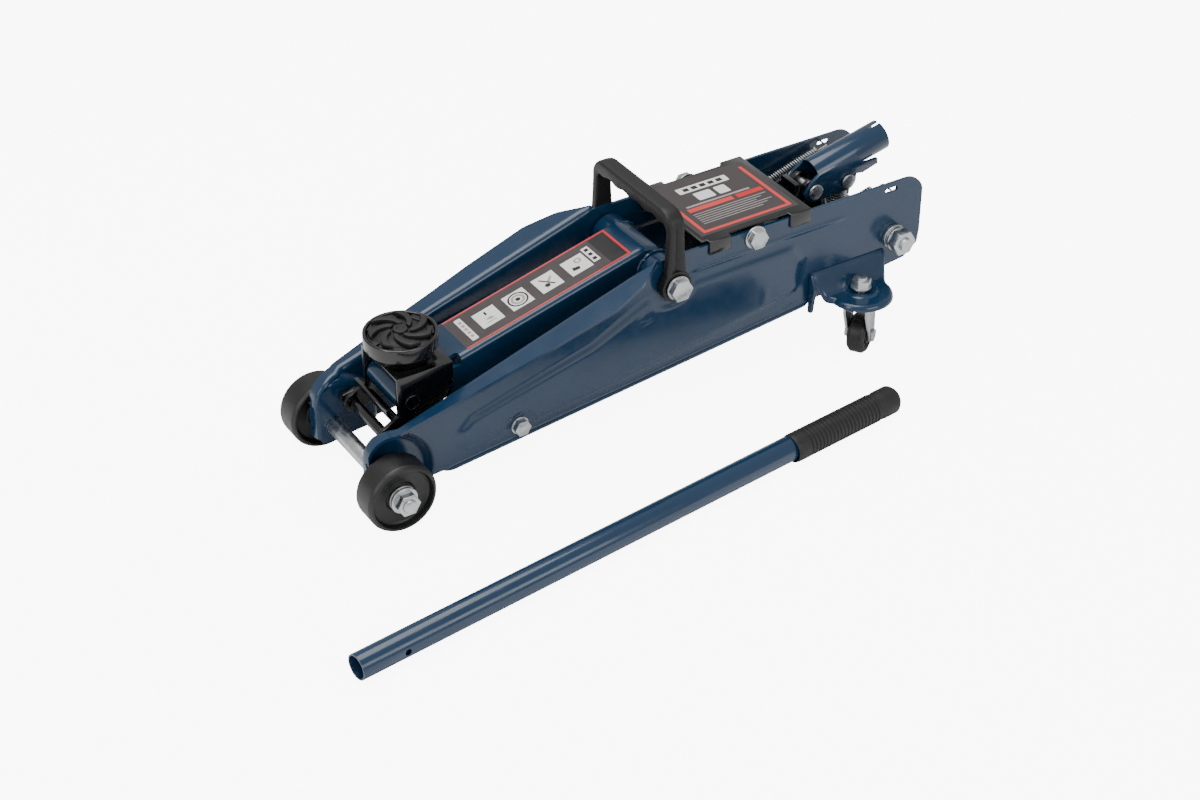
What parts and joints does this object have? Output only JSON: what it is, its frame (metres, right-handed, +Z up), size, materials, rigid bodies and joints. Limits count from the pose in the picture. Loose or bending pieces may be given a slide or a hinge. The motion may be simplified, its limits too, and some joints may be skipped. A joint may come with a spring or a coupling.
{
  "type": "hydraulic floor jack",
  "caption": "Low wheeled floor jack with a hydraulic lift arm, turning saddle, handle socket, swivel casters and a loose pump handle beside it.",
  "frame": {"origin": "middle of the bounding box of the jack and its loose handle, on the floor", "axes": "+X from the front wheels and saddle towards the handle socket, +Y from the loose handle towards the jack, +Z up"},
  "size_m": [0.6884, 0.3454, 0.208],
  "materials": {
    "paint_blue": "gloss",
    "paint_black": "gloss",
    "zinc": "satin",
    "steel": "satin",
    "cast_black": "satin",
    "wheel_plastic": "satin",
    "grip_plastic": "matt",
    "pad_rubber": "satin",
    "seal_rubber": "matt",
    "label_film": "satin"
  },
  "bodies": {
    "frame": {"side_plate_left": "paint_blue", "side_plate_right": "paint_blue", "axle_sleeve": "zinc", "front_axle": "zinc", "axle_nuts": "zinc", "axle_washers": "zinc", "cross_sleeve": "zinc", "cross_bolt": "zinc", "main_shaft": "steel", "main_bolts": "zinc", "link_pivots": "steel", "cover_plate": "paint_black", "cover_label": "label_film", "tie_rod": "zinc", "tie_nuts": "zinc", "tie_collars": "zinc", "caster_bracket_left": "paint_blue", "caster_bracket_right": "paint_blue", "front_head": "cast_black", "reservoir_tube": "paint_black", "pressure_tube": "steel", "gland_nut": "zinc", "rod_seal": "seal_rubber", "pump_block": "cast_black", "pump_bracket": "paint_black", "plunger_gland": "zinc", "filler_plug": "grip_plastic", "check_balls": "steel", "relief_screw": "zinc", "head_bolts": "zinc", "socket_pin": "zinc", "return_springs": "zinc", "plunger_spring": "zinc"},
    "lift_arm": {"lift_arm": "paint_blue", "arm_label": "label_film", "yoke_pivot_pin": "paint_black", "ram_cross_pin": "steel"},
    "links": {"link_rods": "paint_black", "link_bar": "paint_black"},
    "yoke": {"saddle_yoke": "paint_black"},
    "saddle": {"saddle_cup": "paint_black", "saddle_pad": "pad_rubber"},
    "ram": {"ram": "steel", "ram_piston": "steel", "crosshead": "steel", "spring_bar": "steel"},
    "plunger": {"pump_plunger": "zinc"},
    "socket": {"handle_socket": "paint_blue", "socket_roller": "zinc"},
    "release_valve": {"release_valve": "zinc"},
    "front_wheel_left": {"front_wheel_left": "wheel_plastic"},
    "front_wheel_right": {"front_wheel_right": "wheel_plastic"},
    "caster_left": {"caster_fork_left": "zinc"},
    "caster_right": {"caster_fork_right": "zinc"},
    "caster_wheel_left": {"caster_wheel_left": "wheel_plastic"},
    "caster_wheel_right": {"caster_wheel_right": "wheel_plastic"},
    "carry_handle": {"carry_handle": "grip_plastic"},
    "pump_handle": {"handle_tube": "paint_blue", "handle_grip": "pad_rubber"}
  },
  "joints": [
    {"name": "arm_lift", "type": "hinge", "parent": "frame", "child": "lift_arm", "pos_m": [0.06616, 0.06871, 0.135], "axis": [0, 1, 0], "range_deg": [0, 60]},
    {"name": "link_swing", "type": "hinge", "parent": "frame", "child": "links", "pos_m": [0.04016, 0.06871, 0.108], "axis": [0, 1, 0], "range_deg": [0, 60]},
    {"name": "yoke_level", "type": "hinge", "parent": "lift_arm", "child": "yoke", "pos_m": [-0.18084, 0.06871, 0.086], "axis": [0, 1, 0], "range_deg": [-60, 0]},
    {"name": "saddle_turn", "type": "hinge", "parent": "yoke", "child": "saddle", "pos_m": [-0.17284, 0.06871, 0.115], "axis": [0, 0, 1], "continuous": true},
    {"name": "ram_slide", "type": "slide", "parent": "frame", "child": "ram", "axis": [-1, 0, 0], "range_m": [0, 0.045], "deforming": ["return_springs"]},
    {"name": "socket_pump", "type": "hinge", "parent": "frame", "child": "socket", "pos_m": [0.24916, 0.06871, 0.15], "axis": [0, -1, 0], "range_deg": [0, 40]},
    {"name": "plunger_stroke", "type": "slide", "parent": "frame", "child": "plunger", "axis": [0, 0, 1], "range_m": [0, 0.024], "deforming": ["plunger_spring"]},
    {"name": "valve_turn", "type": "hinge", "parent": "frame", "child": "release_valve", "pos_m": [0.30916, 0.08471, 0.08601], "axis": [1, 0, 0], "range_deg": [0, 360]},
    {"name": "front_wheel_left_spin", "type": "hinge", "parent": "frame", "child": "front_wheel_left", "pos_m": [-0.22084, -0.00329, 0.0325], "axis": [0, 1, 0], "continuous": true},
    {"name": "front_wheel_right_spin", "type": "hinge", "parent": "frame", "child": "front_wheel_right", "pos_m": [-0.22084, 0.14071, 0.0325], "axis": [0, 1, 0], "continuous": true},
    {"name": "caster_left_swivel", "type": "hinge", "parent": "frame", "child": "caster_left", "pos_m": [0.26316, -0.00529, 0.06], "axis": [0, 0, 1], "continuous": true},
    {"name": "caster_left_spin", "type": "hinge", "parent": "caster_left", "child": "caster_wheel_left", "pos_m": [0.26971, -0.0007, 0.019], "axis": [-0.5736, 0.8192, 0], "continuous": true},
    {"name": "caster_right_swivel", "type": "hinge", "parent": "frame", "child": "caster_right", "pos_m": [0.26316, 0.14271, 0.06], "axis": [0, 0, 1], "continuous": true},
    {"name": "caster_right_spin", "type": "hinge", "parent": "caster_right", "child": "caster_wheel_right", "pos_m": [0.27099, 0.14105, 0.019], "axis": [0.2079, 0.9781, 0], "continuous": true},
    {"name": "carry_fold", "type": "hinge", "parent": "frame", "child": "carry_handle", "pos_m": [0.06616, 0.06871, 0.135], "axis": [0, 1, 0], "range_deg": [0, 40]},
    {"name": "pump_handle_lift", "type": "slide", "parent": "frame", "child": "pump_handle", "axis": [0, 0, 1], "range_m": [0, 0.4]}
  ],
  "couplings": [
    {"joint": "link_swing", "follows": "arm_lift", "ratio": 1},
    {"joint": "yoke_level", "follows": "arm_lift", "ratio": -1},
    {"joint": "ram_slide", "follows": "arm_lift", "m_per_rad": 0.04297},
    {"joint": "plunger_stroke", "follows": "socket_pump", "m_per_rad": 0.034}
  ]
}
